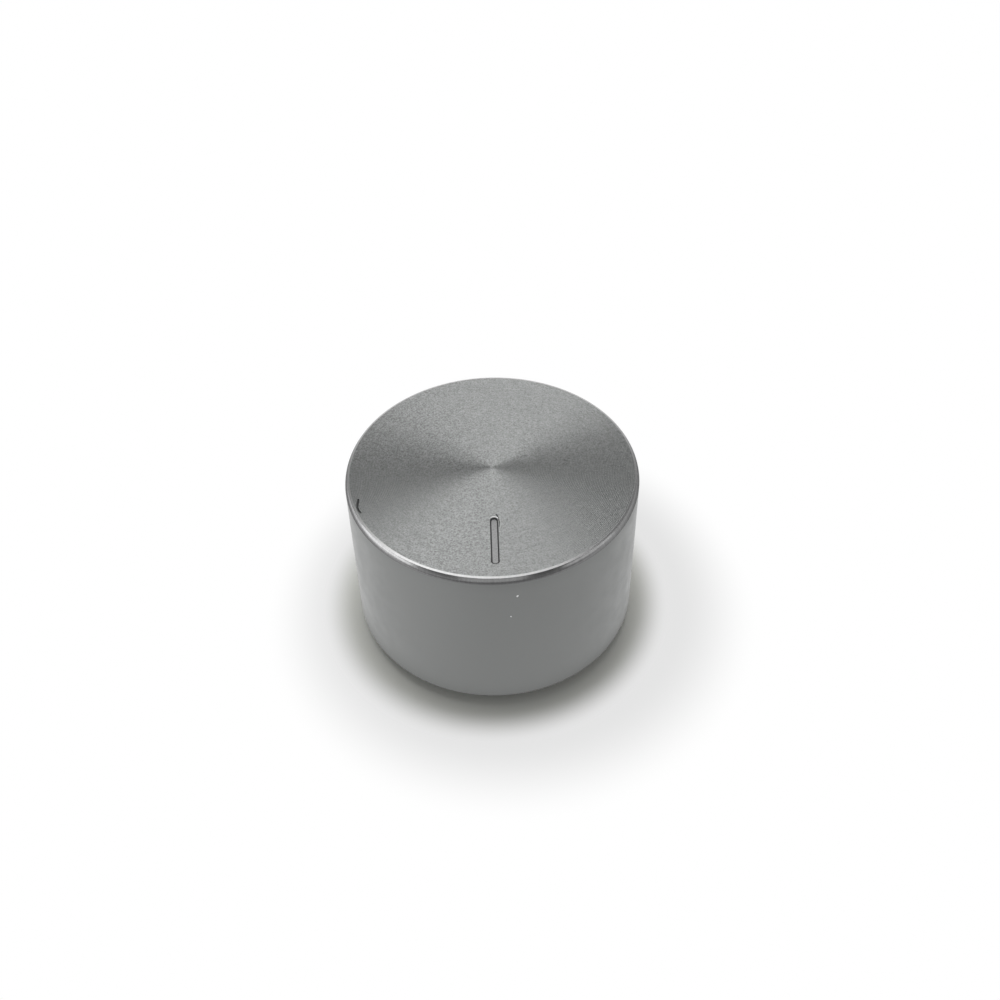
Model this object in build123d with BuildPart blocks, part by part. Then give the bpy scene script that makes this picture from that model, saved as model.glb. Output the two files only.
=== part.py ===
# Rotary control knob for a washing machine: a drawn aluminium cap with a turned face,
# pressed over a moulded carrier whose split hub takes a D-shaped shaft, and a spring
# band that closes the hub on the shaft.
# Millimetres, +Z up. The origin is on the shaft axis, at the hub's end, which the knob
# stands on when it is off its machine. The pointer slot lies towards -Y.

import os
from math import radians, tan

from build123d import *

# Cap, outside
top_diameter = 40.0  # over the wall, level with the turned face
base_diameter = 41.1  # over the skirt's lower edge
cap_height = 24.4  # skirt edge to turned face
rim_width = 0.64  # polished rim, seen from above
rim_drop = 0.9  # polished rim, seen from the side
rim_bevel_width = 0.2  # polished bevel between the turned face and the rim's flank
rim_bevel_tilt = 22
rim_flank_radius = 6.5
skirt_break = 0.15  # broken edges at the skirt

# Cap, inside
cap_wall = 1.2
crown_thickness = 1.6
crown_corner = 0.9  # inside corner between crown and wall

# Pointer slot coined into the turned face
pointer_width = 1.1
pointer_inner = 9.45  # shaft axis to the slot's inner end
pointer_outer = 17.3  # shaft axis to the slot's outer end
pointer_depth = 0.2
pointer_side_angle = 45  # its walls lean out from the vertical

# How far the hub's end stands below the skirt
hub_projection = 2.3

# Carrier, sleeve inside the cap
glue_gap = 0.15  # all round, between sleeve and cap wall
crush_gap = 0.02  # left between a crush rib's crest and the cap wall
crush_rib_count = 12
crush_rib_width = 1.2
sleeve_wall = 1.6
sleeve_recess = 1.0  # the sleeve's end stands this far inside the skirt
web_thickness = 1.8
corner_clearance = 0.25  # past the cap's inside corner
sleeve_lead_in = 0.5
root_chamfer = 0.8  # inside corner between web and sleeve

# Carrier, ribs
rib_count = 4
rib_angle = 45  # of the first rib
rib_thickness = 1.3
rib_recess = 1.6  # the ribs' ends stand this far inside the sleeve's end
hub_moat = 3.0  # free space round the hub's split length
moat_corner = 1.5

# Carrier, hub and its D-shaped socket
hub_diameter = 12.0
hub_chamfer = 0.6
shaft_diameter = 6.0
shaft_flat = 4.5  # across the shaft's flat
socket_clearance = 0.05  # all round the shaft, in the D section
collar_clearance = 0.25  # all round the shaft, in the round guide ahead of it
collar_depth = 3.5
socket_depth = 15.0
mouth_chamfer = 0.5
slit_width = 1.0
slit_depth = 11.0

# Spring band in a groove round the hub
band_thickness = 0.8
band_height = 4.0
band_position = 4.5  # hub's end to the band's lower edge
band_opening = 50  # degrees
groove_depth = 0.4
groove_clearance = 0.1  # above and below the band

# Levels and radii that follow
skirt_z = hub_projection
face_z = skirt_z + cap_height
underside_z = face_z - crown_thickness
sleeve_z = skirt_z + sleeve_recess
web_z = underside_z - web_thickness
rib_z = sleeve_z + rib_recess
rim_z = face_z - rim_drop
bevel_z = face_z - rim_bevel_width * tan(radians(rim_bevel_tilt))
draft = (base_diameter - top_diameter) / 2 / cap_height
hub_radius = hub_diameter / 2
socket_radius = shaft_diameter / 2 + socket_clearance
collar_radius = shaft_diameter / 2 + collar_clearance
flat_offset = shaft_flat - shaft_diameter / 2 + socket_clearance
groove_radius = hub_radius - groove_depth
band_radius = groove_radius + band_thickness
moat_radius = hub_radius + hub_moat


def cap_outside(z):
    """Radius of the cap's outer wall at a height."""
    return top_diameter / 2 + draft * (face_z - z)


def cap_inside(z):
    """Radius of the cap's bore at a height."""
    return cap_outside(z) - cap_wall


def sleeve_outside(z):
    """Radius of the carrier's sleeve at a height."""
    return cap_inside(z) - glue_gap


def sleeve_inside(z):
    """Radius of the carrier's hollow at a height."""
    return sleeve_outside(z) - sleeve_wall


# Cap: one drawn and turned cup, with a polished, slightly convex rim and a coined pointer slot.
with BuildPart() as cap:
    with BuildSketch(Plane.XZ):
        with BuildLine():
            Line((0, underside_z), (0, face_z))
            bevel = Polyline(
                (0, face_z),
                (top_diameter / 2 - rim_width, face_z),
                (top_diameter / 2 - rim_width + rim_bevel_width, bevel_z),
            )
            RadiusArc(bevel @ 1, (cap_outside(rim_z), rim_z), rim_flank_radius)
            Polyline(
                (cap_outside(rim_z), rim_z),
                (cap_outside(skirt_z), skirt_z),
                (cap_inside(skirt_z), skirt_z),
                (cap_inside(underside_z), underside_z),
                (0, underside_z),
            )
        section = make_face()
        corners = section.vertices().group_by(Axis.Y)
        chamfer(corners[0], skirt_break)
        chamfer(corners[1].sort_by(Axis.X)[-1], crown_corner)
    revolve(axis=Axis.Z)
    with BuildSketch(Plane.XY.offset(face_z)):
        with Locations((0, -(pointer_inner + pointer_outer) / 2)):
            SlotOverall(pointer_outer - pointer_inner, pointer_width, rotation=90)
    extrude(amount=-pointer_depth, taper=pointer_side_angle, mode=Mode.SUBTRACT)
cap.part.label = "cap"


# Carrier: one moulding. A drafted cup fills the cap, crush ribs centre it in the cap,
# four ribs carry the hub, and the hub's lower length is split and stands free.
with BuildPart() as carrier:
    web_chamfer = crown_corner + corner_clearance
    with BuildSketch(Plane.XZ):
        with BuildLine():
            Polyline(
                (0, web_z),
                (0, underside_z),
                (sleeve_outside(underside_z) - web_chamfer, underside_z),
                (sleeve_outside(underside_z - web_chamfer), underside_z - web_chamfer),
                (sleeve_outside(sleeve_z + sleeve_lead_in), sleeve_z + sleeve_lead_in),
                (sleeve_outside(sleeve_z) - sleeve_lead_in, sleeve_z),
                (sleeve_inside(sleeve_z), sleeve_z),
                (sleeve_inside(web_z - root_chamfer), web_z - root_chamfer),
                (sleeve_inside(web_z) - root_chamfer, web_z),
                close=True,
            )
        make_face()
    revolve(axis=Axis.Z)

    # Crush ribs: thin blades up the sleeve, whose crests follow the cap's draft.
    crest_top = underside_z - 2 * web_chamfer
    crest_foot = sleeve_z + 2 * sleeve_lead_in
    for i in range(crush_rib_count):
        turn = 360 * (i + 0.5) / crush_rib_count
        with BuildSketch(Plane.XZ.rotated((0, 0, turn))):
            with BuildLine():
                Polyline(
                    (sleeve_inside(crest_top) + sleeve_wall / 2, crest_top),
                    (cap_inside(crest_top) - crush_gap, crest_top),
                    (cap_inside(crest_foot) - crush_gap, crest_foot),
                    (sleeve_inside(crest_foot) + sleeve_wall / 2, crest_foot),
                    close=True,
                )
            make_face()
        extrude(amount=crush_rib_width / 2, both=True)

    # Ribs from the hub's root to the sleeve, cut away round the split length.
    for i in range(rib_count):
        turn = rib_angle + 360 * i / rib_count
        with BuildSketch(Plane.XZ.rotated((0, 0, turn))):
            with BuildLine():
                FilletPolyline(
                    (hub_radius / 2 + socket_radius / 2, web_z + web_thickness / 2),
                    (hub_radius / 2 + socket_radius / 2, slit_depth + moat_corner),
                    (moat_radius, slit_depth + moat_corner),
                    (moat_radius, rib_z),
                    (sleeve_inside(rib_z) + sleeve_wall / 2, rib_z),
                    (sleeve_inside(web_z) + sleeve_wall / 2, web_z + web_thickness / 2),
                    close=True,
                    radius=[0, 0, moat_corner, 0, 0, 0],
                )
            make_face()
        extrude(amount=rib_thickness / 2, both=True)

    # Hub, with a groove for the spring band.
    band_low = band_position - groove_clearance
    band_high = band_position + band_height + groove_clearance
    with BuildSketch(Plane.XZ):
        with BuildLine():
            Polyline(
                (0, 0),
                (hub_radius - hub_chamfer, 0),
                (hub_radius, hub_chamfer),
                (hub_radius, band_low),
                (groove_radius, band_low),
                (groove_radius, band_high),
                (hub_radius, band_high),
                (hub_radius, web_z + web_thickness / 2),
                (0, web_z + web_thickness / 2),
                close=True,
            )
        make_face()
    revolve(axis=Axis.Z)

    # Socket: a round collar, then the D section, and a chamfered mouth.
    with BuildSketch(Plane.XY):
        Circle(collar_radius)
    extrude(amount=collar_depth, mode=Mode.SUBTRACT)
    with BuildSketch(Plane.XY.offset(collar_depth)):
        Circle(socket_radius)
        with Locations((0, flat_offset + socket_radius)):
            Rectangle(2 * socket_radius, 2 * socket_radius, mode=Mode.SUBTRACT)
    extrude(amount=socket_depth - collar_depth, mode=Mode.SUBTRACT)
    Cone(
        collar_radius + mouth_chamfer,
        collar_radius,
        mouth_chamfer,
        align=(Align.CENTER, Align.CENTER, Align.MIN),
        mode=Mode.SUBTRACT,
    )

    # Slit across the hub, with a round end, so that its two jaws can close.
    with BuildSketch(Plane.YZ):
        with Locations((0, slit_depth - slit_width / 2)):
            Circle(slit_width / 2)
        Rectangle(slit_width, slit_depth - slit_width / 2, align=(Align.CENTER, Align.MIN))
    extrude(amount=hub_radius + moat_corner, both=True, mode=Mode.SUBTRACT)
carrier.part.label = "carrier"


# Spring band: an open steel ring in the hub's groove, its gap over the middle of a jaw.
with BuildPart() as spring_band:
    with BuildSketch(Plane.XZ.rotated((0, 0, -90 + band_opening / 2))):
        with Locations((groove_radius, band_position)):
            Rectangle(band_thickness, band_height, align=(Align.MIN, Align.MIN))
    revolve(axis=Axis.Z, revolution_arc=360 - band_opening)
spring_band.part.label = "spring_band"


os.makedirs("parts", exist_ok=True)
export_step(cap.part, "parts/cap.step")
export_step(carrier.part, "parts/carrier.step")
export_step(spring_band.part, "parts/spring_band.step")
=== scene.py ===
import math

import bmesh
import bpy
import numpy as np
from mathutils import Matrix, Vector


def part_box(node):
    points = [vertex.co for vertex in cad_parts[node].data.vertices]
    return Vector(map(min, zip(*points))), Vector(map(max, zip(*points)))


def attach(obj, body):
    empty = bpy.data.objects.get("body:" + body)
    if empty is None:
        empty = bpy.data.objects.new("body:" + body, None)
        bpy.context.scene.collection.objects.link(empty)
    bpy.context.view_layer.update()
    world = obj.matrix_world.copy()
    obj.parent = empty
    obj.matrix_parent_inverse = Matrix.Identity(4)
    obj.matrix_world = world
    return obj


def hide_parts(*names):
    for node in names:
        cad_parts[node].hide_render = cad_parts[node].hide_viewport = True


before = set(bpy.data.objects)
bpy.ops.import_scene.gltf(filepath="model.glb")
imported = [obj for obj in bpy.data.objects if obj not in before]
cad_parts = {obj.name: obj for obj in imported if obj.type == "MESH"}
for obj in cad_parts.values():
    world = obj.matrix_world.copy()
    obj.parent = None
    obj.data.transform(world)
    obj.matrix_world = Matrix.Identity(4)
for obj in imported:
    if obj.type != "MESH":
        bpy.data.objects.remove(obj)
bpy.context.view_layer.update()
print("frame loaded")

mm = 0.001
weldGap = 0.001 * mm
scene = bpy.context.scene
scene.view_settings.view_transform = "Standard"

# The cap's levels and its radius at the skirt come from its solid, the rest of its form from here.
capLow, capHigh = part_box("cap")
faceHeight = capHigh[2]
skirtHeight = capLow[2]
baseRadius = capHigh[0] + 0.003 * mm  # the skirt's broken edge takes this off

capForm = {
    "topRadius": 20.0 * mm,
    "rimWidth": 0.62 * mm,
    "rimDrop": 0.9 * mm,
    "bevelWidth": 0.27 * mm,  # polished bevel between the turned face and the rim's flank
    "bevelTilt": 17,
    "flankRadius": 1.6 * mm,
    "flankRings": 8,
    "wallRings": 13,
    "wall": 1.2 * mm,
    "crown": 1.6 * mm,
    "crownCorner": 0.9 * mm,
    "insideRings": 7,
    "skirtBreak": 0.15 * mm,
    "grooves": 88,
    "grooveDepth": 0.03 * mm,
    "segments": 256,
    "sharpAngle": 12,  # an edge that turns more than this stays crisp
}


def feed(tree, source, target):
    if isinstance(source, bpy.types.NodeSocket):
        tree.links.new(source, target)
    else:
        target.default_value = source


def mathNode(tree, operation, *values):
    node = tree.nodes.new("ShaderNodeMath")
    node.operation = operation
    for value, socket in zip(values, node.inputs):
        feed(tree, value, socket)
    return node.outputs[0]


def vectorNode(tree, operation, *values):
    node = tree.nodes.new("ShaderNodeVectorMath")
    node.operation = operation
    for value, socket in zip(values, node.inputs):
        feed(tree, value, socket)
    return node.outputs["Value" if operation in ("LENGTH", "DOT_PRODUCT") else "Vector"]


def scaledVector(tree, vector, scale):
    node = tree.nodes.new("ShaderNodeVectorMath")
    node.operation = "SCALE"
    feed(tree, vector, node.inputs[0])
    feed(tree, scale, node.inputs["Scale"])
    return node.outputs["Vector"]


def combineNode(tree, x=0.0, y=0.0, z=0.0):
    node = tree.nodes.new("ShaderNodeCombineXYZ")
    for value, socket in zip((x, y, z), node.inputs):
        feed(tree, value, socket)
    return node.outputs[0]


def separateNode(tree, vector):
    node = tree.nodes.new("ShaderNodeSeparateXYZ")
    feed(tree, vector, node.inputs[0])
    return node.outputs


def rangeNode(tree, value, fromLow, fromHigh, toLow=0.0, toHigh=1.0, smooth=False):
    node = tree.nodes.new("ShaderNodeMapRange")
    node.interpolation_type = "SMOOTHSTEP" if smooth else "LINEAR"
    feed(tree, value, node.inputs["Value"])
    levels = {"From Min": fromLow, "From Max": fromHigh, "To Min": toLow, "To Max": toHigh}
    for name, level in levels.items():
        node.inputs[name].default_value = level
    return node.outputs["Result"]


def noiseNode(tree, vector, scale, detail=2.0, roughness=0.5):
    node = tree.nodes.new("ShaderNodeTexNoise")
    feed(tree, vector, node.inputs["Vector"])
    node.inputs["Scale"].default_value = scale
    node.inputs["Detail"].default_value = detail
    node.inputs["Roughness"].default_value = roughness
    return node.outputs["Fac"]


# A noise keeps near its middle, so these stretch it to run from 0 to 1.
def stretchedGrain(tree, noise):
    return rangeNode(tree, noise, 0.3, 0.7)


def stretchedPatch(tree, noise):
    return rangeNode(tree, noise, 0.35, 0.65)


def mixColour(tree, factor, first, second):
    node = tree.nodes.new("ShaderNodeMix")
    node.data_type = "RGBA"
    for value, index in ((factor, 0), (first, 6), (second, 7)):
        feed(tree, (*value, 1.0) if isinstance(value, tuple) else value, node.inputs[index])
    return node.outputs[2]


def mixLevel(tree, factor, first, second):
    node = tree.nodes.new("ShaderNodeMix")
    for value, index in ((factor, 0), (first, 2), (second, 3)):
        feed(tree, value, node.inputs[index])
    return node.outputs[0]


def bumpNode(tree, height, distance):
    node = tree.nodes.new("ShaderNodeBump")
    node.inputs["Distance"].default_value = distance
    feed(tree, height, node.inputs["Height"])
    return node.outputs["Normal"]


def objectPlace(tree):
    return tree.nodes.new("ShaderNodeTexCoord").outputs["Object"]


def flatPlace(tree):
    return vectorNode(tree, "MULTIPLY", objectPlace(tree), (1.0, 1.0, 0.0))


def radialDirection(tree):
    return vectorNode(tree, "NORMALIZE", flatPlace(tree))


def newMaterial(name, values):
    material = bpy.data.materials.new(name)
    material.use_nodes = True
    shader = material.node_tree.nodes["Principled BSDF"]
    for socket, value in values.items():
        shader.inputs[socket].default_value = value
    return material, material.node_tree, shader.inputs


def newObject(name, verts, faces, materials, indices=None):
    mesh = bpy.data.meshes.new(name)
    mesh.from_pydata([tuple(v) for v in verts], [], faces)
    for material in materials:
        mesh.materials.append(material)
    if indices is not None:
        mesh.polygons.foreach_set("material_index", indices)
    mesh.update()
    piece = bpy.data.objects.new(name, mesh)
    scene.collection.objects.link(piece)
    return piece


turnedLook = {
    "colour": (0.256, 0.265, 0.26),
    "paleColour": (0.316, 0.325, 0.319),
    "metal": 0.9,
    "roughness": 0.34,
    "anisotropy": 0.6,
    "anisotropyTurn": 0.25,  # a quarter turn, so that the sheen runs across the grooves
    "streakSize": 0.13 * mm,  # across the grooves
    "streakTurns": 9.0,  # along the grooves
    "streakDepth": 0.004 * mm,
    "gritColour": (0.14, 0.14, 0.141),
    "gritSize": 0.2 * mm,
    "gritDetail": 3.0,
    "gritSharpness": 0.65,
    "gritCover": (0.32, 0.62),  # from full grit to bare metal
    "gritTilt": 0.6,  # how far the grit leans in and out across the grooves
}


def radialStreaks(tree, size, turns):
    around = scaledVector(tree, radialDirection(tree), turns)
    radius = mathNode(tree, "DIVIDE", vectorNode(tree, "LENGTH", flatPlace(tree)), size)
    return noiseNode(tree, vectorNode(tree, "ADD", around, combineNode(tree, z=radius)), 1.0, 1.0)


def turnedMaterial():
    look = turnedLook
    material, tree, shader = newMaterial("turnedFace", {
        "Metallic": look["metal"], "Roughness": look["roughness"],
        "Anisotropic": look["anisotropy"], "Anisotropic Rotation": look["anisotropyTurn"]})
    streaks = radialStreaks(tree, look["streakSize"], look["streakTurns"])
    metal = mixColour(tree, stretchedGrain(tree, streaks), look["colour"], look["paleColour"])
    grit = noiseNode(tree, objectPlace(tree), 1.0 / look["gritSize"], look["gritDetail"],
                     look["gritSharpness"])
    bare = rangeNode(tree, grit, *look["gritCover"])
    feed(tree, mixColour(tree, bare, look["gritColour"], metal), shader["Base Color"])
    tilt = rangeNode(tree, grit, 0.0, 1.0, -look["gritTilt"], look["gritTilt"])
    lean = scaledVector(tree, radialDirection(tree), tilt)
    leaning = vectorNode(tree, "ADD", bumpNode(tree, streaks, look["streakDepth"]), lean)
    feed(tree, vectorNode(tree, "NORMALIZE", leaning), shader["Normal"])
    tangent = tree.nodes.new("ShaderNodeTangent")
    tangent.direction_type = "RADIAL"
    tangent.axis = "Z"
    feed(tree, tangent.outputs[0], shader["Tangent"])
    return material


rimLook = {
    "colour": (0.185, 0.185, 0.186),
    "paleColour": (0.22, 0.22, 0.221),
    "bevelColour": (0.42, 0.42, 0.421),
    "bevelPaleColour": (0.48, 0.48, 0.481),
    "edgeColour": (0.14, 0.14, 0.14),  # where the flank meets the wall
    "edgeReach": (0.01 * mm, 0.12 * mm),
    "grazing": 0.45,  # how much the polish brightens at a grazing angle
    "roughness": 0.2,
    "bevelRoughness": 0.3,
    "chatterSize": 1.5 * mm,
    "chatterTurns": 80.0,
    "chatterDepth": 0.002 * mm,
}


def rimMaterial(name, colour, paleColour, roughness):
    look = rimLook
    grazing = look["grazing"]
    material, tree, shader = newMaterial(name, {
        "Metallic": 1.0, "Roughness": roughness, "Specular Tint": (grazing, grazing, grazing, 1.0)})
    chatter = radialStreaks(tree, look["chatterSize"], look["chatterTurns"])
    metal = mixColour(tree, stretchedGrain(tree, chatter), colour, paleColour)
    height = separateNode(tree, objectPlace(tree))[2]
    edgeHeight = faceHeight - capForm["rimDrop"]
    above = rangeNode(tree, height, *[edgeHeight + reach for reach in look["edgeReach"]])
    feed(tree, mixColour(tree, above, look["edgeColour"], metal), shader["Base Color"])
    feed(tree, bumpNode(tree, chatter, look["chatterDepth"]), shader["Normal"])
    return material


wallLook = {
    "colour": (0.185, 0.19, 0.187),
    "paleColour": (0.208, 0.213, 0.21),
    "roughness": 0.33,
    "roughPatch": 0.4,
    "patch": 2.5 * mm,
    "patchShare": 0.3,  # of the patches in the colour, the rest being grain
    "grain": 0.12 * mm,
    "grainDepth": 0.01 * mm,
}


def wallMaterial():
    look = wallLook
    material, tree, shader = newMaterial("blastedWall", {"Metallic": 1.0})
    place = objectPlace(tree)
    grain = noiseNode(tree, place, 1.0 / look["grain"])
    patch = stretchedPatch(tree, noiseNode(tree, place, 1.0 / look["patch"], 3.0))
    patchPart = mathNode(tree, "MULTIPLY", patch, look["patchShare"])
    spread = mathNode(tree, "MULTIPLY_ADD", grain, 1.0 - look["patchShare"], patchPart)
    feed(tree, mixColour(tree, spread, look["colour"], look["paleColour"]), shader["Base Color"])
    feed(tree, rangeNode(tree, patch, 0.0, 1.0, look["roughness"], look["roughPatch"]),
         shader["Roughness"])
    feed(tree, bumpNode(tree, grain, look["grainDepth"]), shader["Normal"])
    return material


slotLook = {
    "floor": {"colour": (0.21, 0.21, 0.211), "paleColour": (0.3, 0.3, 0.301), "metal": 1.0,
              "roughness": 0.4, "grain": 0.14 * mm, "grainDepth": 0.012 * mm},
    "side": {"colour": (0.015, 0.015, 0.015), "paleColour": (0.05, 0.05, 0.051), "metal": 0.0,
             "roughness": 0.5, "grain": 0.14 * mm, "grainDepth": 0.012 * mm},
}

wearAndShadeLook = {
    "bare": {"colour": (0.65, 0.65, 0.65), "paleColour": (0.9, 0.9, 0.9), "metal": 1.0,
             "roughness": 0.3, "grain": 0.05 * mm, "grainDepth": 0.004 * mm},
    # Near black, for the worn nick and tool mark, and as painted shade along the slot's near end.
    "dark": {"colour": (0.012, 0.012, 0.012), "paleColour": (0.035, 0.035, 0.035), "metal": 0.0,
             "roughness": 0.6, "grain": 0.05 * mm, "grainDepth": 0.004 * mm},
}


def grainyMaterial(name, look):
    material, tree, shader = newMaterial(name, {
        "Metallic": look["metal"], "Roughness": look["roughness"]})
    grain = noiseNode(tree, objectPlace(tree), 1.0 / look["grain"])
    colour = mixColour(tree, stretchedGrain(tree, grain), look["colour"], look["paleColour"])
    feed(tree, colour, shader["Base Color"])
    feed(tree, bumpNode(tree, grain, look["grainDepth"]), shader["Normal"])
    return material


carrierLook = {
    "colour": (0.018, 0.018, 0.02),
    "paleColour": (0.028, 0.028, 0.03),
    "roughness": 0.38,
    "roughPatch": 0.52,
    "patch": 5.0 * mm,  # where the melt flowed and cooled unevenly
    "grain": 0.12 * mm,
    "grainDepth": 0.008 * mm,
}


def carrierMaterial():
    look = carrierLook
    material, tree, shader = newMaterial("mouldedCarrier", {})
    place = objectPlace(tree)
    patch = stretchedPatch(tree, noiseNode(tree, place, 1.0 / look["patch"], 3.0))
    feed(tree, mixColour(tree, patch, look["colour"], look["paleColour"]), shader["Base Color"])
    feed(tree, rangeNode(tree, patch, 0.0, 1.0, look["roughness"], look["roughPatch"]),
         shader["Roughness"])
    grain = noiseNode(tree, place, 1.0 / look["grain"])
    feed(tree, bumpNode(tree, grain, look["grainDepth"]), shader["Normal"])
    return material


bandLook = {
    "colour": (0.36, 0.36, 0.37),
    "paleColour": (0.52, 0.52, 0.53),
    "roughness": 0.28,
    "lineSize": 0.06 * mm,  # across the rolling lines, which run round the band
    "lineTurns": 5.0,
    "lineDepth": 0.003 * mm,
}


def bandMaterial():
    look = bandLook
    material, tree, shader = newMaterial("springSteel", {
        "Metallic": 1.0, "Roughness": look["roughness"]})
    around = scaledVector(tree, radialDirection(tree), look["lineTurns"])
    height = separateNode(tree, objectPlace(tree))[2]
    along = combineNode(tree, z=mathNode(tree, "DIVIDE", height, look["lineSize"]))
    lines = noiseNode(tree, vectorNode(tree, "ADD", around, along), 1.0)
    colour = mixColour(tree, stretchedGrain(tree, lines), look["colour"], look["paleColour"])
    feed(tree, colour, shader["Base Color"])
    feed(tree, bumpNode(tree, lines, look["lineDepth"]), shader["Normal"])
    return material


turned = turnedMaterial()
polished = rimMaterial("polishedRim", rimLook["colour"], rimLook["paleColour"],
                       rimLook["roughness"])
bevelled = rimMaterial("rimBevel", rimLook["bevelColour"], rimLook["bevelPaleColour"],
                       rimLook["bevelRoughness"])
blasted = wallMaterial()
slotFloor = grainyMaterial("slotFloor", slotLook["floor"])
slotSide = grainyMaterial("slotSide", slotLook["side"])
bareMetal = grainyMaterial("bareMetal", wearAndShadeLook["bare"])
darkWearAndShade = grainyMaterial("darkWearAndShade", wearAndShadeLook["dark"])
moulded = carrierMaterial()
springSteel = bandMaterial()
print("materials ready")


def openTree(name, kinds):
    tree = bpy.data.node_groups.new(name, "GeometryNodeTree")
    identifiers = {}
    for key, kind in kinds.items():
        socket = tree.interface.new_socket(name=key, in_out="INPUT", socket_type="NodeSocket" + kind)
        identifiers[key] = socket.identifier
    tree.interface.new_socket(name="Mesh", in_out="OUTPUT", socket_type="NodeSocketGeometry")
    return tree, tree.nodes.new("NodeGroupInput").outputs, identifiers


def closeTree(tree, geometry, finish):
    real = tree.nodes.new("GeometryNodeRealizeInstances")
    feed(tree, geometry, real.inputs["Geometry"])
    paint = tree.nodes.new("GeometryNodeSetMaterial")
    feed(tree, real.outputs[0], paint.inputs["Geometry"])
    feed(tree, finish, paint.inputs["Material"])
    feed(tree, paint.outputs[0], tree.nodes.new("NodeGroupOutput").inputs[0])


# A grid bent round into a disc, every second ring of which lies a groove's depth lower.
def turnedFaceTree():
    tree, given, identifiers = openTree("turnedFace", {
        "faceRadius": "Float", "faceHeight": "Float", "grooveDepth": "Float", "grooves": "Int",
        "segments": "Int", "finish": "Material"})
    grid = tree.nodes.new("GeometryNodeMeshGrid")
    rings = mathNode(tree, "MULTIPLY", given["grooves"], 2)
    feed(tree, mathNode(tree, "ADD", given["segments"], 1), grid.inputs["Vertices X"])
    feed(tree, mathNode(tree, "ADD", rings, 1), grid.inputs["Vertices Y"])
    x, y = separateNode(tree, tree.nodes.new("GeometryNodeInputPosition").outputs[0])[:2]
    angle = mathNode(tree, "MULTIPLY", mathNode(tree, "ADD", x, 0.5), 2 * math.pi)
    share = mathNode(tree, "ADD", y, 0.5)
    radius = mathNode(tree, "MULTIPLY", share, given["faceRadius"])
    ring = mathNode(tree, "ROUND", mathNode(tree, "MULTIPLY", share, rings))
    sink = mathNode(tree, "MULTIPLY", mathNode(tree, "MODULO", ring, 2), given["grooveDepth"])
    spot = combineNode(
        tree,
        mathNode(tree, "MULTIPLY", radius, mathNode(tree, "COSINE", angle)),
        mathNode(tree, "MULTIPLY", radius, mathNode(tree, "SINE", angle)),
        mathNode(tree, "SUBTRACT", given["faceHeight"], sink))
    move = tree.nodes.new("GeometryNodeSetPosition")
    feed(tree, grid.outputs["Mesh"], move.inputs["Geometry"])
    feed(tree, spot, move.inputs["Position"])
    weld = tree.nodes.new("GeometryNodeMergeByDistance")
    weld.inputs["Distance"].default_value = weldGap
    feed(tree, move.outputs[0], weld.inputs["Geometry"])
    closeTree(tree, weld.outputs[0], given["finish"])
    return tree, identifiers


pinMarks = {
    "count": 8,
    "ring": 12.6 * mm,
    "turn": 22.5,
    "radius": 1.4 * mm,
    "proud": 0.06 * mm,
    "segments": 48,
    "webThickness": 1.8 * mm,
}


def pinMarkTree():
    tree, given, identifiers = openTree("pinMarks", {
        "count": "Int", "ring": "Float", "turn": "Float", "height": "Float", "radius": "Float",
        "depth": "Float", "segments": "Int", "finish": "Material"})
    ring = tree.nodes.new("GeometryNodeMeshCircle")
    feed(tree, given["count"], ring.inputs["Vertices"])
    feed(tree, given["ring"], ring.inputs["Radius"])
    disc = tree.nodes.new("GeometryNodeMeshCylinder")
    feed(tree, given["segments"], disc.inputs["Vertices"])
    feed(tree, given["radius"], disc.inputs["Radius"])
    feed(tree, given["depth"], disc.inputs["Depth"])
    repeat = tree.nodes.new("GeometryNodeInstanceOnPoints")
    feed(tree, ring.outputs["Mesh"], repeat.inputs["Points"])
    feed(tree, disc.outputs["Mesh"], repeat.inputs["Instance"])
    move = tree.nodes.new("GeometryNodeTransform")
    feed(tree, repeat.outputs[0], move.inputs["Geometry"])
    feed(tree, combineNode(tree, z=given["height"]), move.inputs["Translation"])
    feed(tree, combineNode(tree, z=given["turn"]), move.inputs["Rotation"])
    closeTree(tree, move.outputs[0], given["finish"])
    return tree, identifiers


def settle(piece):
    view = bpy.context.evaluated_depsgraph_get()
    mesh = bpy.data.meshes.new_from_object(piece.evaluated_get(view))
    piece.modifiers.clear()
    piece.data = mesh
    return piece


def growFromTree(name, tree, identifiers, values):
    piece = newObject(name, [], [], [])
    modifier = piece.modifiers.new(name, "NODES")
    modifier.node_group = tree
    for key, value in values.items():
        modifier[identifiers[key]] = value
    return settle(piece)


def buildPinMarks():
    form = pinMarks
    tree, identifiers = pinMarkTree()
    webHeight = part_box("carrier")[1][2] - form["webThickness"]
    return growFromTree("pinMarks", tree, identifiers, {
        "count": form["count"], "ring": form["ring"], "turn": math.radians(form["turn"]),
        "height": webHeight, "radius": form["radius"], "depth": 2 * form["proud"],
        "segments": form["segments"], "finish": moulded})


# Turns the sections' lines, given as radius and height, round the shaft axis.
def spin(name, sections, segments):
    points, owners, materials = [], [], []
    for material, line in sections:
        materials.append(material)
        points += line[1:] if points else line
        owners += [len(materials) - 1] * (len(line) - 1)
    turns = np.arange(segments) * 2 * math.pi / segments
    verts = [(r * math.cos(t), r * math.sin(t), z) for r, z in points for t in turns]
    faces, indices = [], []
    for ring, owner in enumerate(owners):
        low, high = ring * segments, (ring + 1) * segments
        for k in range(segments):
            after = (k + 1) % segments
            faces.append((low + k, high + k, high + after, low + after))
            indices.append(owner)
    return newObject(name, verts, faces, materials, indices)


def arcBetween(first, last, radius, steps):
    first, last = np.array(first), np.array(last)
    across = last - first
    length = np.linalg.norm(across)
    outward = np.array([-across[1], across[0]]) / length
    half = math.asin(length / 2 / radius)
    centre = (first + last) / 2 - outward * radius * math.cos(half)
    return [tuple(centre + radius * (math.cos(a) * outward + math.sin(a) * across / length))
            for a in np.linspace(-half, half, steps + 1)]


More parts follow.
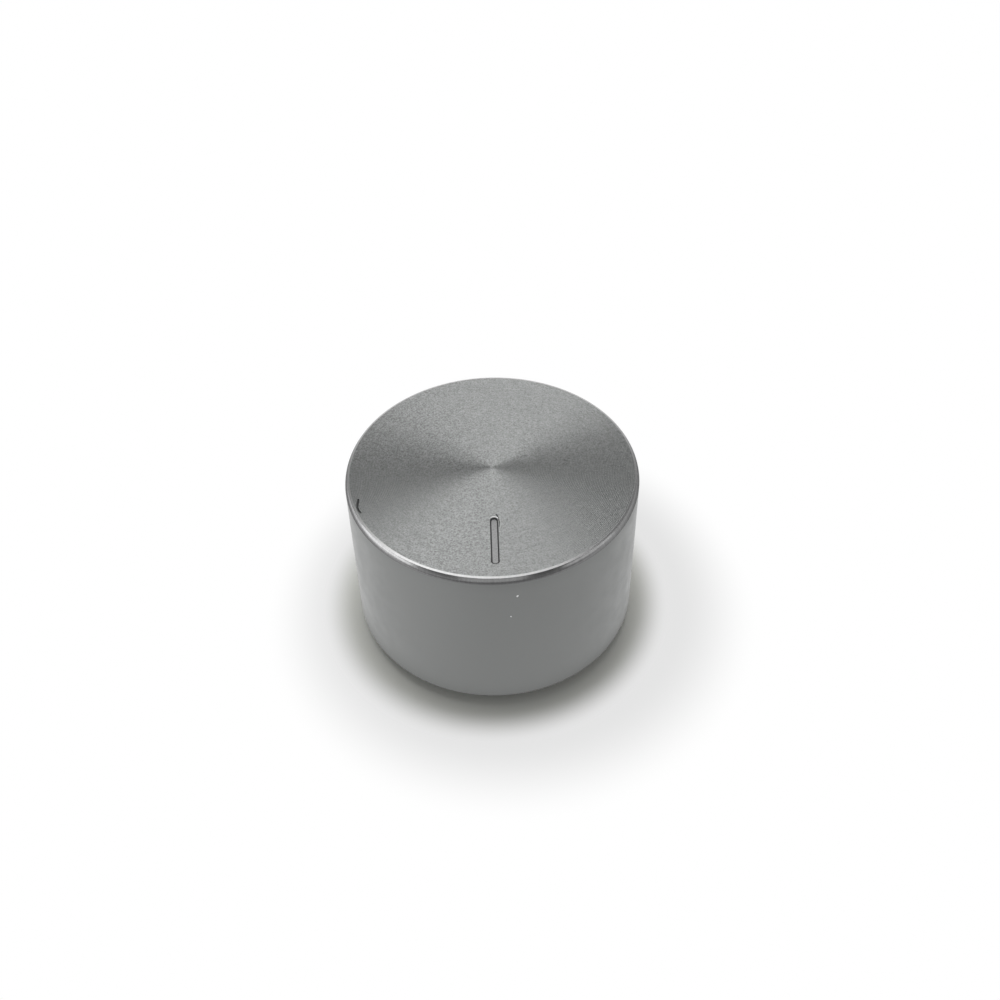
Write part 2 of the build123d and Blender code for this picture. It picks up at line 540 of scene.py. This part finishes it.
def wallRadius(z):
    form = capForm
    share = (faceHeight - z) / (faceHeight - skirtHeight)
    return form["topRadius"] + (baseRadius - form["topRadius"]) * share


def boreRadius(z):
    return wallRadius(z) - capForm["wall"]


def rimLines():
    form = capForm
    inner = form["topRadius"] - form["rimWidth"]
    bevelDrop = form["bevelWidth"] * math.tan(math.radians(form["bevelTilt"]))
    shoulder = (inner + form["bevelWidth"], faceHeight - bevelDrop)
    low = faceHeight - form["rimDrop"]
    flank = arcBetween(shoulder, (wallRadius(low), low), form["flankRadius"], form["flankRings"])
    return [(inner, faceHeight), shoulder], flank


def capShell():
    form = capForm
    corner = form["skirtBreak"]
    skirtTop = skirtHeight + corner
    under = faceHeight - form["crown"]
    bevel, flank = rimLines()
    wall = [(wallRadius(z), z)
            for z in np.linspace(faceHeight - form["rimDrop"], skirtTop, form["wallRings"])]
    lip = [(wallRadius(skirtTop), skirtTop), (wallRadius(skirtHeight) - corner, skirtHeight),
           (boreRadius(skirtHeight) + corner, skirtHeight), (boreRadius(skirtTop), skirtTop)]
    inside = [(boreRadius(z), z)
              for z in np.linspace(skirtTop, under - form["crownCorner"], form["insideRings"])]
    inside += [(boreRadius(under) - form["crownCorner"], under), (0.0, under)]
    # The later cuts keep one slot of each kind, so the lip ends up with the near-black finish of the
    # worn marks and the slot end's painted shade, and the inside with that of the slot's floor.
    sections = [(bevelled, bevel), (polished, flank), (blasted, wall), (blasted, lip),
                (blasted, inside)]
    return spin("capShell", sections, form["segments"])


slotForm = {"inner": 9.45 * mm, "outer": 17.3 * mm, "width": 1.1 * mm, "depth": 0.2 * mm}


def roundEndedOutline(halfWidth, near, far, z, steps=12):
    outline = []
    for centre, start in ((near + halfWidth, 0.0), (far - halfWidth, math.pi)):
        for step in range(steps + 1):
            a = start + math.pi * step / steps
            outline.append((halfWidth * math.cos(a), -centre + halfWidth * math.sin(a), z))
    return outline


# The slot's sides lean out at 45 degrees, and the cutter goes on past the face.
def slotCutter():
    form = slotForm
    over = 0.1 * mm
    deep = form["depth"]
    low = roundEndedOutline(form["width"] / 2 - deep, form["inner"] + deep, form["outer"] - deep,
                            faceHeight - deep)
    high = roundEndedOutline(form["width"] / 2 + over, form["inner"] - over, form["outer"] + over,
                             faceHeight + over)
    count = len(low)
    faces = [tuple(reversed(range(count))), tuple(range(count, 2 * count))]
    faces += [(k, (k + 1) % count, count + (k + 1) % count, count + k) for k in range(count)]
    return newObject("slotCutter", low + high, faces, [slotFloor, slotSide], [0, 1] + [1] * count)


# Wear, burrs and painted shade. Paths, radii and sizes are in millimetres. An angle goes from the
# front, which is -Y, towards +X, and a dent lies so far below the face.
marks = {
    "rimNick": {
        "path": [(-17.79, -5.3), (-17.84, -6.06), (-17.84, -6.87), (-17.62, -7.44), (-17.26, -7.94)],
        "radii": [0.14, 0.17, 0.14, 0.14, 0.12],
        "sink": 0.02},
    "toolMark": {
        "path": [(0.3, -8.86), (0.46, -9.2), (0.6, -9.7), (0.69, -10.28), (0.62, -11.2)],
        "radii": [0.12, 0.08, 0.06, 0.07, 0.05],
        "sink": 0.01},
    # A shallow groove along the slot's near end, coloured near black as painted shade where the end
    # wall faces away.
    "slotEnd": {
        "path": [(-0.54, -16.8), (-0.5, -16.98), (-0.36, -17.17), (-0.13, -17.29), (0.13, -17.29),
                 (0.36, -17.17), (0.5, -16.98), (0.54, -16.8)],
        "radii": [0.04, 0.08, 0.1, 0.1, 0.1, 0.1, 0.08, 0.04],
        "sink": 0.01},
    "slotBurr": {
        "centre": 10.0, "reach": 0.66, "angles": (35, 145), "radius": 0.09, "steps": 10,
        "endShare": 0.35},  # of its thickness that it keeps at its two ends
    "wallDents": [
        {"angle": 7.45, "below": 3.34, "size": (0.13, 0.06, 0.2), "lean": 25},
        {"angle": 5.03, "below": 7.16, "size": (0.08, 0.03, 0.12), "lean": -15}],
}


def tube(name, path, radii, material, sides):
    path = [np.array(point) for point in path]
    upward = np.array([0, 0, 1])
    verts = []
    for k, (point, radius) in enumerate(zip(path, radii)):
        along = path[min(k + 1, len(path) - 1)] - path[max(k - 1, 0)]
        along = along / np.linalg.norm(along)
        side = np.array([along[1], -along[0], 0.0])
        for step in range(sides):
            a = 2 * math.pi * step / sides
            verts.append(point + radius * (math.cos(a) * side + math.sin(a) * upward))
    lastRing = (len(path) - 1) * sides
    faces = [tuple(range(sides)), tuple(reversed(range(lastRing, lastRing + sides)))]
    for low in range(0, lastRing, sides):
        high = low + sides
        for step in range(sides):
            after = (step + 1) % sides
            faces.append((low + step, high + step, high + after, low + after))
    return newObject(name, verts, faces, [material])


def faceScratch(name):
    mark = marks[name]
    path = [(x * mm, y * mm, faceHeight + mark["sink"] * mm) for x, y in mark["path"]]
    return tube(name, path, [radius * mm for radius in mark["radii"]], darkWearAndShade, sides=10)


def slotBurr():
    mark = marks["slotBurr"]
    steps = mark["steps"]
    path, radii = [], []
    for k, a in enumerate(np.radians(np.linspace(*mark["angles"], steps + 1))):
        x, y = mark["reach"] * math.cos(a), mark["reach"] * math.sin(a) - mark["centre"]
        path.append((x * mm, y * mm, faceHeight))
        swell = mark["endShare"] + (1 - mark["endShare"]) * math.sin(math.pi * k / steps)
        radii.append(mark["radius"] * mm * swell)
    return tube("slotBurr", path, radii, bareMetal, sides=8)


def wallDent(mark, number):
    sheet = bmesh.new()
    bmesh.ops.create_uvsphere(sheet, u_segments=14, v_segments=8, radius=1.0)
    mesh = bpy.data.meshes.new(f"wallDent{number}")
    sheet.to_mesh(mesh)
    sheet.free()
    mesh.materials.append(bareMetal)
    dent = bpy.data.objects.new(mesh.name, mesh)
    scene.collection.objects.link(dent)
    height = faceHeight - mark["below"] * mm
    turn = Matrix.Rotation(math.radians(mark["angle"]), 4, "Z")
    place = turn @ Matrix.Translation((0, -wallRadius(height), height))
    lean = Matrix.Rotation(math.radians(mark["lean"]), 4, "Y")
    size = Matrix.Diagonal((*[part * mm for part in mark["size"]], 1.0))
    mesh.transform(place @ lean @ size)
    return dent


def joinPieces(name, pieces):
    materials, sheet = [], bmesh.new()
    for piece in pieces:
        shift = len(materials)
        materials += list(piece.data.materials)
        before = len(sheet.faces)
        sheet.from_mesh(piece.data)
        sheet.faces.ensure_lookup_table()
        for face in sheet.faces[before:]:
            face.material_index += shift
        bpy.data.objects.remove(piece)
    bmesh.ops.remove_doubles(sheet, verts=sheet.verts, dist=weldGap)
    bmesh.ops.recalc_face_normals(sheet, faces=sheet.faces)
    whole = newObject(name, [], [], materials)
    sheet.to_mesh(whole.data)
    sheet.free()
    return whole


def cutAway(piece, cutters):
    for cutter in cutters:
        step = piece.modifiers.new(cutter.name, "BOOLEAN")
        step.object = cutter
        step.operation = "DIFFERENCE"
        step.solver = "EXACT"
        step.material_mode = "TRANSFER"
    settle(piece)
    for cutter in cutters:
        bpy.data.objects.remove(cutter)


# Grooves are crisp along their bottoms and soft along their crests.
def sharpenEdges(piece):
    sheet = bmesh.new()
    sheet.from_mesh(piece.data)
    angle = math.radians(capForm["sharpAngle"])
    turnedIndex = piece.data.materials.find(turned.name)
    for face in sheet.faces:
        face.smooth = True
    for edge in sheet.edges:
        onFace = all(face.material_index == turnedIndex for face in edge.link_faces)
        inGroove = onFace and not edge.is_convex
        edge.smooth = len(edge.link_faces) == 2 and (inGroove or edge.calc_face_angle() < angle)
    sheet.to_mesh(piece.data)
    sheet.free()


def buildCap():
    form = capForm
    tree, identifiers = turnedFaceTree()
    face = growFromTree("turnedFace", tree, identifiers, {
        "faceRadius": form["topRadius"] - form["rimWidth"], "faceHeight": faceHeight,
        "grooveDepth": form["grooveDepth"], "grooves": form["grooves"],
        "segments": form["segments"], "finish": turned})
    whole = joinPieces("knobCap", [face, capShell()])
    scratches = [faceScratch(name) for name in ("rimNick", "toolMark", "slotEnd")]
    dents = [wallDent(mark, number) for number, mark in enumerate(marks["wallDents"])]
    cutAway(whole, scratches + [slotCutter()] + dents)
    sharpenEdges(whole)
    return whole


cap = buildCap()
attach(cap, "root")
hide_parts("cap")
print("cap built,", len(cap.data.polygons), "faces")

burr = slotBurr()
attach(burr, "root")
print("burr built")

for node, material in (("carrier", moulded), ("spring_band", springSteel)):
    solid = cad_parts[node]
    solid.data.materials.clear()
    solid.data.materials.append(material)
marksOnWeb = buildPinMarks()
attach(marksOnWeb, "root")
print("carrier and band finished")


floorLook = {
    "colour": (0.925, 0.935, 0.88),
    "size": 6.0,
    "shadowReach": (0.0215, 0.0266),  # from the shaft axis; past this the floor glows, grey with painted shadow at first, then plain white
    "paintedReflectionReach": (0.0203, 0.0232),  # the same for the floor as the metal mirrors it, glowing nearer the knob than its shadow allows: painted reflection
    # How the metal mirrors the floor, a painted reflection, brighter to the left and right and
    # darker
    # in front: along an axis, from one place to the next, the level goes from 1 to this.
    "paintedReflectionLevels": [("x", 0.0, -0.03, 1.13), ("x", -0.11, -0.13, 2.2), ("x", 0.11, 0.13, 1.2),
                       ("y", -0.062, -0.074, 0.42)],
    "paintedShadowReach": (0.0255, 0.038),  # where the painted shadow, a faint grey round the knob, fades out to white
    "paintedShadowLevel": 0.78,
    "paintedShadowCentre": (0.0024, -0.0005, 0.0),  # the painted shadow leans away from the lit side
}


def floorMaterial():
    look = floorLook
    material = bpy.data.materials.new("paleFloor")
    material.use_nodes = True
    tree = material.node_tree
    tree.nodes.clear()
    place = objectPlace(tree)
    paths = tree.nodes.new("ShaderNodeLightPath").outputs
    distance = vectorNode(tree, "LENGTH", place)
    plain = rangeNode(tree, distance, *look["shadowReach"], smooth=True)
    plainMirrored = rangeNode(tree, distance, *look["paintedReflectionReach"], smooth=True)
    mirrored = mathNode(tree, "MAXIMUM", paths["Is Glossy Ray"], paths["Is Transmission Ray"])
    white = mathNode(tree, "ADD", mathNode(tree, "MULTIPLY", paths["Is Camera Ray"], plain),
                     mathNode(tree, "MULTIPLY", mirrored, plainMirrored))
    # Painted shadow: for camera rays, past the real shadow, the floor glows grey near the knob and
    # rises to white.
    fromPaintedShadow = vectorNode(tree, "LENGTH", vectorNode(tree, "SUBTRACT", place, look["paintedShadowCentre"]))
    paintedShadow = rangeNode(tree, fromPaintedShadow, *look["paintedShadowReach"], look["paintedShadowLevel"], 1.0, smooth=True)
    across = separateNode(tree, place)
    # The floor's glow as the metal mirrors it: painted reflection.
    lit = 1.0
    for axis, start, end, level in look["paintedReflectionLevels"]:
        step = rangeNode(tree, across[axis.upper()], start, end, 1.0, level, smooth=True)
        lit = mathNode(tree, "MULTIPLY", lit, step)
    diffuse = tree.nodes.new("ShaderNodeBsdfDiffuse")
    diffuse.inputs["Color"].default_value = (*look["colour"], 1.0)
    glow = tree.nodes.new("ShaderNodeEmission")
    feed(tree, mixLevel(tree, paths["Is Camera Ray"], lit, paintedShadow), glow.inputs["Strength"])
    mix = tree.nodes.new("ShaderNodeMixShader")
    feed(tree, white, mix.inputs[0])
    feed(tree, diffuse.outputs[0], mix.inputs[1])
    feed(tree, glow.outputs[0], mix.inputs[2])
    feed(tree, mix.outputs[0], tree.nodes.new("ShaderNodeOutputMaterial").inputs[0])
    return material


def buildFloor():
    half = floorLook["size"] / 2
    corners = [(-half, -half, 0), (half, -half, 0), (half, half, 0), (-half, half, 0)]
    floor = newObject("floor", corners, [(0, 1, 2, 3)], [floorMaterial()])


skyLook = {
    "level": 0.216,
    "glowLevel": 1.28,  # low, bright backdrop round the sides and the back
    "glowFront": 0.12,
    "glowHeight": (0.05, 0.62),  # sine of the height where it fades
    "glowSide": (-0.3, 0.95, 0.0),
    "glowSpread": (-0.9, 0.2),
}


def buildWorld():
    look = skyLook
    world = bpy.data.worlds.new("studio")
    scene.world = world
    world.use_nodes = True
    tree = world.node_tree
    tree.nodes.clear()
    direction = tree.nodes.new("ShaderNodeTexCoord").outputs["Generated"]
    height = separateNode(tree, direction)[2]
    flat = vectorNode(tree, "MULTIPLY", direction, (1.0, 1.0, 0.0))
    facing = vectorNode(tree, "DOT_PRODUCT", vectorNode(tree, "NORMALIZE", flat), look["glowSide"])
    glow = rangeNode(tree, facing, *look["glowSpread"], look["glowFront"], look["glowLevel"],
                     smooth=True)
    low = rangeNode(tree, height, *look["glowHeight"], 1.0, 0.0, smooth=True)
    level = mathNode(tree, "MULTIPLY_ADD", glow, low, look["level"])
    paths = tree.nodes.new("ShaderNodeLightPath").outputs
    seen = mathNode(tree, "MAXIMUM", paths["Is Camera Ray"], paths["Is Transmission Ray"])
    background = tree.nodes.new("ShaderNodeBackground")
    background.inputs["Color"].default_value = (1.0, 1.0, 1.0, 1.0)
    feed(tree, mixLevel(tree, seen, level, 1.0), background.inputs["Strength"])
    feed(tree, background.outputs[0], tree.nodes.new("ShaderNodeOutputWorld").inputs[0])


# The lamps face the middle of the knob's face. A card only shows in the metal and lights no floor.
softboxes = {
    "overhead": {"turn": 105, "rise": 71, "size": (0.42, 0.36), "radiance": 2.0, "card": False},
    "upperLeft": {"turn": 172, "rise": 55, "size": (0.22, 0.2), "radiance": 1.2, "card": True},
    "left": {"turn": 193, "rise": 4, "size": (0.4, 0.26), "radiance": 2.5, "card": True},
    "right": {"turn": -25, "rise": 4, "size": (0.36, 0.26), "radiance": 1.2, "card": True},
    "front": {"turn": -92, "rise": 20, "size": (0.4, 0.48), "radiance": 0.8, "card": True},
    "back": {"turn": 90, "rise": 26, "size": (0.3, 0.14), "radiance": 2.8, "card": True},
}
softboxDistance = 0.5


def buildLights():
    for name, box in softboxes.items():
        lamp = bpy.data.lights.new(name, "AREA")
        lamp.shape = "RECTANGLE"
        lamp.size, lamp.size_y = box["size"]
        lamp.energy = box["radiance"] * lamp.size * lamp.size_y * math.pi
        light = bpy.data.objects.new(name, lamp)
        turn, rise = math.radians(box["turn"]), math.radians(box["rise"])
        outward = Vector((math.cos(turn) * math.cos(rise), math.sin(turn) * math.cos(rise),
                          math.sin(rise)))
        light.location = outward * softboxDistance + Vector((0, 0, faceHeight))
        light.rotation_euler = (-outward).to_track_quat("-Z", "Y").to_euler()
        light.visible_diffuse = not box["card"]
        scene.collection.objects.link(light)


cameraPlace = {
    "lens": 34.97,
    "fromFace": (-0.6 * mm, -96.0 * mm, 91.08 * mm),  # from the middle of the turned face
    "tiltDown": 45.44,
    "turn": -0.95,
    "roll": -1.12,
    "nearest": 5.0 * mm,
}


def buildCamera():
    place = cameraPlace
    lens = bpy.data.cameras.new("camera")
    lens.lens = place["lens"]
    lens.clip_start = place["nearest"]
    camera = bpy.data.objects.new("camera", lens)
    x, y, z = place["fromFace"]
    turn = Matrix.Rotation(math.radians(place["turn"]), 4, "Z")
    tilt = Matrix.Rotation(math.radians(90 - place["tiltDown"]), 4, "X")
    roll = Matrix.Rotation(math.radians(place["roll"]), 4, "Z")
    camera.matrix_world = Matrix.Translation((x, y, faceHeight + z)) @ turn @ tilt @ roll
    scene.collection.objects.link(camera)
    scene.camera = camera


buildFloor()
buildWorld()
buildLights()
buildCamera()
print("studio ready")
